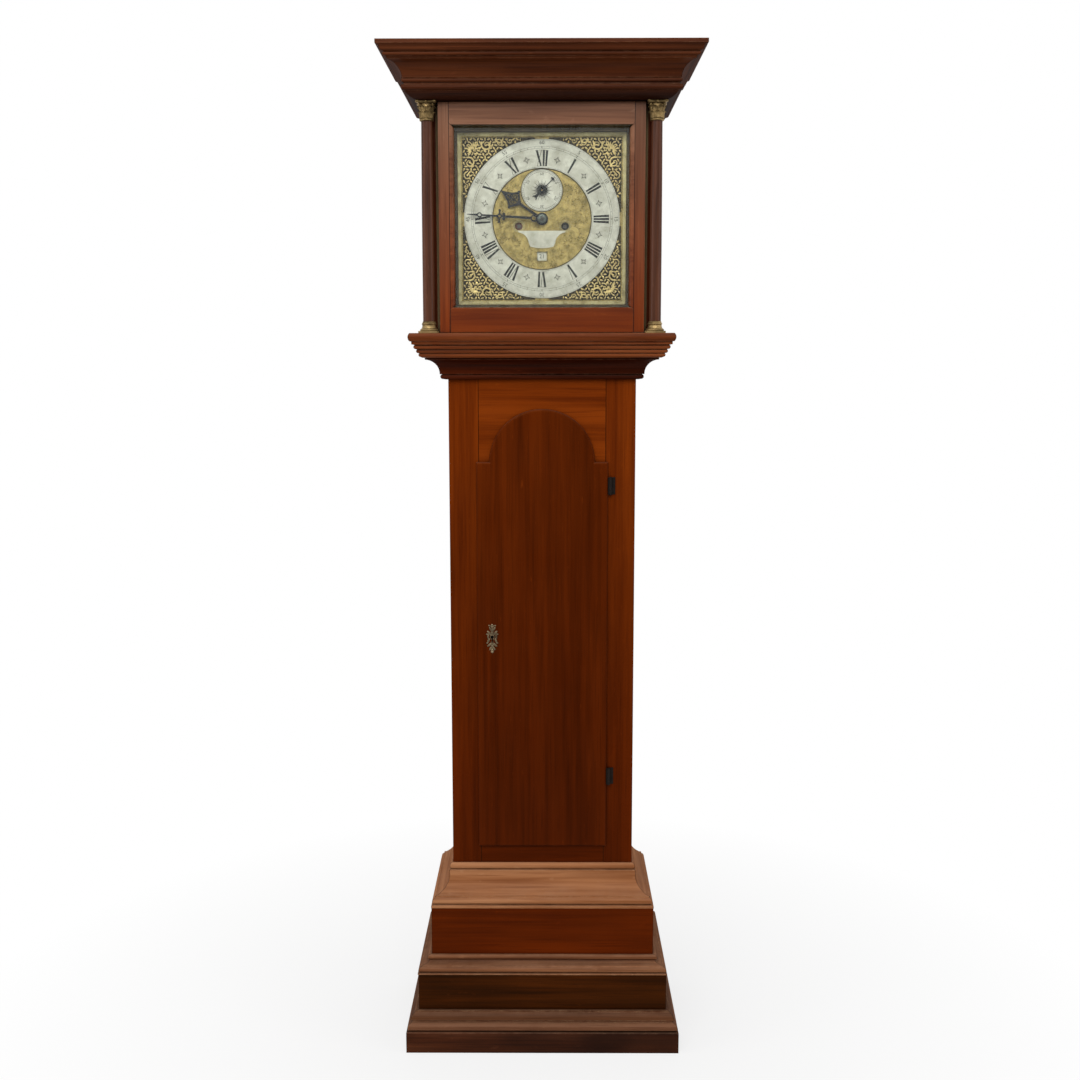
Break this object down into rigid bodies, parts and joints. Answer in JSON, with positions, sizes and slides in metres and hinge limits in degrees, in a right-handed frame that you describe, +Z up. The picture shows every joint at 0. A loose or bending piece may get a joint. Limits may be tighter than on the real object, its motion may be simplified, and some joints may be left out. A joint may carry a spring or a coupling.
{
  "type": "longcase clock",
  "caption": "Tall oak longcase clock: stepped moulded base, arched trunk door, square brass dial in a glazed hood with slim columns and a deep cornice; weight-driven movement.",
  "frame": {"origin": "on the floor, under the middle of the clock's widest outline", "axes": "+Z up, -Y towards the viewer in front of the dial, +X to the viewer's right"},
  "size_m": [0.568, 0.308, 1.853],
  "materials": {
    "oak_frame": "stained oak, worn wax polish",
    "oak_panel": "darker stained oak panels",
    "oak_door": "figured stained board, vertical grain",
    "oak_moulding": "stained moulding with pale worn edges",
    "raw_pine": "unfinished softwood",
    "brass_plate": "polished and matted brass",
    "brass_cast": "cast brass, gilt remains",
    "brass_wheel": "brushed brass",
    "silvered": "silvered brass, matt",
    "blued_steel": "blued steel",
    "steel": "bright steel",
    "iron": "forged iron, dark",
    "lead": "cast lead, dull",
    "bell_metal": "bell metal",
    "crown_glass": "old crown glass",
    "gut": "twisted gut"
  },
  "bodies": {
    "case": {"backboard": "raw_pine", "trunk_sides": "oak_frame", "trunk_front_frame": "oak_frame", "throat_moulding": "oak_moulding", "base_upper_moulding": "oak_moulding", "base_middle_moulding": "oak_moulding", "base_lower_moulding": "oak_moulding", "plinth": "oak_panel", "base_panels": "oak_panel", "seatboard": "raw_pine", "trunk_hinge_fixed_leaves": "iron", "dial_plate": "brass_plate", "chapter_ring": "silvered", "spandrels": "brass_cast", "dial_silvered_plates": "silvered", "movement_plates": "brass_wheel", "movement_pillars": "brass_wheel", "movement_cocks": "steel", "bell": "bell_metal", "going_line": "gut", "strike_line": "gut"},
    "hood": {"hood_sill_moulding": "oak_moulding", "hood_cornice": "oak_moulding", "hood_carcase": "oak_frame", "hood_mask": "oak_panel", "hood_columns": "oak_frame", "column_brass_mounts": "brass_cast"},
    "hood_door": {"hood_door_frame": "oak_frame", "hood_door_glass": "crown_glass", "hood_door_pivots": "iron"},
    "trunk_door": {"trunk_door_board": "oak_door", "trunk_door_lock": "iron", "escutcheon": "brass_cast", "trunk_hinge_moving_leaves": "iron"},
    "lock_bolt": {"lock_bolt": "steel"},
    "date_ring": {"date_ring": "silvered"},
    "centre_arbor": {"centre_arbor": "brass_wheel", "minute_hand": "blued_steel"},
    "hour_wheel": {"hour_wheel": "brass_wheel", "hour_hand": "blued_steel"},
    "minute_wheel": {"minute_wheel": "brass_wheel"},
    "going_great_wheel": {"going_great_wheel": "brass_wheel"},
    "third_wheel": {"third_wheel": "brass_wheel"},
    "escape_wheel": {"escape_wheel": "brass_wheel", "seconds_hand": "blued_steel"},
    "pallets": {"pallets": "steel"},
    "pendulum": {"pendulum_rod": "steel", "pendulum_bob": "brass_cast"},
    "going_weight": {"going_weight": "lead"},
    "going_pulley": {"going_pulley": "brass_wheel"},
    "going_barrel": {"going_barrel": "brass_wheel"},
    "strike_weight": {"strike_weight": "lead"},
    "strike_pulley": {"strike_pulley": "brass_wheel"},
    "strike_barrel": {"strike_barrel": "brass_wheel"},
    "strike_great_wheel": {"strike_great_wheel": "brass_wheel"},
    "pin_wheel": {"pin_wheel": "brass_wheel"},
    "hoop_wheel": {"hoop_wheel": "brass_wheel"},
    "warning_wheel": {"warning_wheel": "brass_wheel"},
    "fly": {"fly": "brass_wheel"},
    "hammer": {"hammer": "steel"}
  },
  "joints": [
    {"name": "hood_slide", "type": "slide", "parent": "case", "child": "hood", "axis": [0, -1, 0], "range_m": [0, 0.25]},
    {"name": "hood_door_hinge", "type": "hinge", "parent": "hood", "child": "hood_door", "pos_m": [0.1795, -0.0765, 1.56], "axis": [0, 0, 1], "range_deg": [0, 95]},
    {"name": "trunk_door_hinge", "type": "hinge", "parent": "case", "child": "trunk_door", "pos_m": [0.127, -0.048, 0.8], "axis": [0, 0, 1], "range_deg": [0, 110]},
    {"name": "lock_bolt_slide", "type": "slide", "parent": "trunk_door", "child": "lock_bolt", "axis": [-1, 0, 0], "range_m": [0, 0.008]},
    {"name": "centre_turn", "type": "hinge", "parent": "case", "child": "centre_arbor", "pos_m": [0, 0, 1.565], "axis": [0, 1, 0], "continuous": true},
    {"name": "hour_turn", "type": "hinge", "parent": "case", "child": "hour_wheel", "pos_m": [0, 0, 1.565], "axis": [0, 1, 0], "continuous": true},
    {"name": "minute_wheel_turn", "type": "hinge", "parent": "case", "child": "minute_wheel", "pos_m": [0, -0.011, 1.541], "axis": [0, 1, 0], "continuous": true},
    {"name": "great_wheel_turn", "type": "hinge", "parent": "case", "child": "going_great_wheel", "pos_m": [0.042, 0, 1.5525], "axis": [0, 1, 0], "continuous": true},
    {"name": "third_wheel_turn", "type": "hinge", "parent": "case", "child": "third_wheel", "pos_m": [0.00622, 0, 1.59148], "axis": [0, 1, 0], "continuous": true},
    {"name": "escape_wheel_turn", "type": "hinge", "parent": "case", "child": "escape_wheel", "pos_m": [0, 0, 1.6159], "axis": [0, 1, 0], "continuous": true},
    {"name": "date_ring_turn", "type": "hinge", "parent": "case", "child": "date_ring", "pos_m": [0, 0, 1.565], "axis": [0, 1, 0], "continuous": true},
    {"name": "pendulum_swing", "type": "hinge", "parent": "case", "child": "pendulum", "pos_m": [0, 0.077, 1.6443], "axis": [0, 1, 0], "range_deg": [-3, 3]},
    {"name": "pallets_rock", "type": "hinge", "parent": "case", "child": "pallets", "pos_m": [0, 0, 1.6443], "axis": [0, 1, 0], "range_deg": [-3, 3]},
    {"name": "going_weight_rise", "type": "slide", "parent": "case", "child": "going_weight", "axis": [0, 0, 1], "range_m": [0, 1.055], "deforming": ["going_line"]},
    {"name": "going_pulley_turn", "type": "hinge", "parent": "going_weight", "child": "going_pulley", "pos_m": [0.043, 0.017, 0.298], "axis": [0, 1, 0], "range_deg": [-10, 2800]},
    {"name": "going_barrel_turn", "type": "hinge", "parent": "case", "child": "going_barrel", "pos_m": [0.042, 0, 1.5525], "axis": [0, 1, 0], "range_deg": [-10, 5800]},
    {"name": "strike_weight_rise", "type": "slide", "parent": "case", "child": "strike_weight", "axis": [0, 0, 1], "range_m": [0, 1.055], "deforming": ["strike_line"]},
    {"name": "strike_pulley_turn", "type": "hinge", "parent": "strike_weight", "child": "strike_pulley", "pos_m": [-0.041, 0.017, 0.298], "axis": [0, 1, 0], "range_deg": [-10, 2800]},
    {"name": "strike_barrel_turn", "type": "hinge", "parent": "case", "child": "strike_barrel", "pos_m": [-0.042, 0, 1.5525], "axis": [0, 1, 0], "range_deg": [-10, 5800]},
    {"name": "hoop_wheel_turn", "type": "hinge", "parent": "case", "child": "hoop_wheel", "pos_m": [-0.03904, 0, 1.61142], "axis": [0, 1, 0], "continuous": true},
    {"name": "pin_wheel_turn", "type": "hinge", "parent": "case", "child": "pin_wheel", "pos_m": [-0.04516, 0, 1.5886], "axis": [0, 1, 0], "continuous": true},
    {"name": "strike_great_wheel_turn", "type": "hinge", "parent": "case", "child": "strike_great_wheel", "pos_m": [-0.042, 0, 1.5525], "axis": [0, 1, 0], "continuous": true},
    {"name": "warning_wheel_turn", "type": "hinge", "parent": "case", "child": "warning_wheel", "pos_m": [-0.02924, 0, 1.62839], "axis": [0, 1, 0], "continuous": true},
    {"name": "fly_turn", "type": "hinge", "parent": "case", "child": "fly", "pos_m": [-0.03206, 0, 1.64435], "axis": [0, 1, 0], "continuous": true},
    {"name": "hammer_lift", "type": "hinge", "parent": "case", "child": "hammer", "pos_m": [-0.062, 0, 1.607], "axis": [0, -1, 0], "range_deg": [0, 7]}
  ],
  "couplings": [
    {"joint": "minute_wheel_turn", "follows": "centre_turn", "ratio": -1},
    {"joint": "hour_turn", "follows": "centre_turn", "ratio": 0.083333},
    {"joint": "great_wheel_turn", "follows": "centre_turn", "ratio": -0.083333},
    {"joint": "third_wheel_turn", "follows": "centre_turn", "ratio": -7.5},
    {"joint": "escape_wheel_turn", "follows": "centre_turn", "ratio": 60},
    {"joint": "date_ring_turn", "follows": "centre_turn", "ratio": 0.0013441},
    {"joint": "pallets_rock", "follows": "pendulum_swing", "ratio": 1},
    {"joint": "going_pulley_turn", "follows": "going_weight_rise", "rad_per_m": 45.455},
    {"joint": "going_barrel_turn", "follows": "going_weight_rise", "rad_per_m": 95.238},
    {"joint": "strike_pulley_turn", "follows": "strike_weight_rise", "rad_per_m": 45.455},
    {"joint": "strike_barrel_turn", "follows": "strike_weight_rise", "rad_per_m": 95.238},
    {"joint": "pin_wheel_turn", "follows": "hoop_wheel_turn", "ratio": -0.125},
    {"joint": "strike_great_wheel_turn", "follows": "hoop_wheel_turn", "ratio": 0.012821},
    {"joint": "warning_wheel_turn", "follows": "hoop_wheel_turn", "ratio": -7},
    {"joint": "fly_turn", "follows": "hoop_wheel_turn", "ratio": 56}
  ]
}
